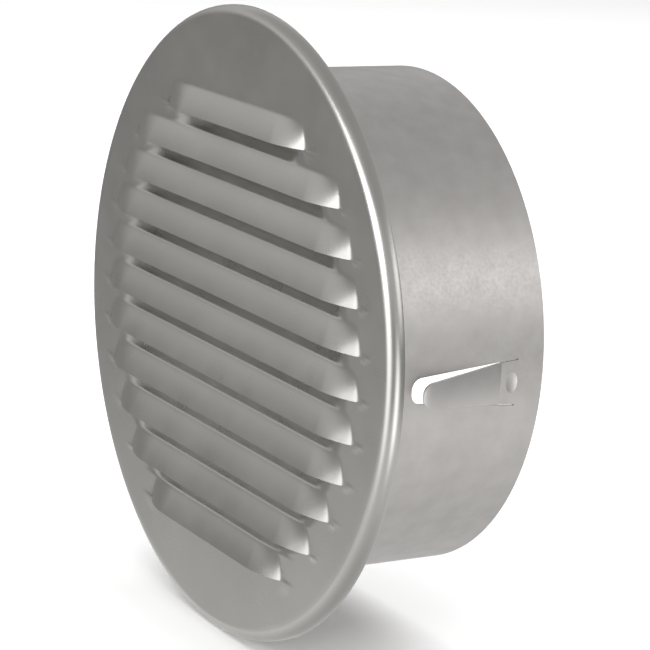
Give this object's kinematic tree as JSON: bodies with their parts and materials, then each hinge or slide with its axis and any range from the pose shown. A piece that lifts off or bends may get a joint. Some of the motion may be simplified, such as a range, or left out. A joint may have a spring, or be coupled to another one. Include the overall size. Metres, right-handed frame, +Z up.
{
  "type": "round louvred ventilation grille",
  "caption": "Round louvred weather grille with a rolled flange, a duct collar, sprung retaining tongues and an inner mesh.",
  "frame": {"origin": "on the collar's axis, in the plane of the wall that the flange's rim rests on", "axes": "+Y along the collar into the duct, away from the louvred face; +Z up, away from the louvres' open lips; +X right as seen from in front"},
  "size_m": [0.186, 0.0655, 0.186],
  "materials": {
    "satin_steel": "satin",
    "collar_steel": "matte",
    "spring_steel": "satin",
    "mesh_wire": "satin"
  },
  "bodies": {
    "grille": {"face_plate": "satin_steel", "collar": "collar_steel", "mesh_ring": "mesh_wire", "mesh_upright_wires": "mesh_wire", "mesh_cross_wires": "mesh_wire"},
    "spring_right": {"tongue_right": "spring_steel"},
    "spring_upper_left": {"tongue_upper_left": "spring_steel"},
    "spring_lower_left": {"tongue_lower_left": "spring_steel"}
  },
  "joints": [
    {"name": "press_right", "type": "hinge", "parent": "grille", "child": "spring_right", "pos_m": [0.07405, 0.043, -0.00259], "axis": [-0.0349, 0, -0.9994], "range_deg": [0, 12], "stiffness_Nm_per_rad": 1.5},
    {"name": "press_upper_left", "type": "hinge", "parent": "grille", "child": "spring_upper_left", "pos_m": [-0.03479, 0.043, 0.06543], "axis": [0.8829, 0, 0.4695], "range_deg": [0, 12], "stiffness_Nm_per_rad": 1.5},
    {"name": "press_lower_left", "type": "hinge", "parent": "grille", "child": "spring_lower_left", "pos_m": [-0.03927, 0.043, -0.06284], "axis": [-0.848, 0, 0.5299], "range_deg": [0, 12], "stiffness_Nm_per_rad": 1.5}
  ]
}
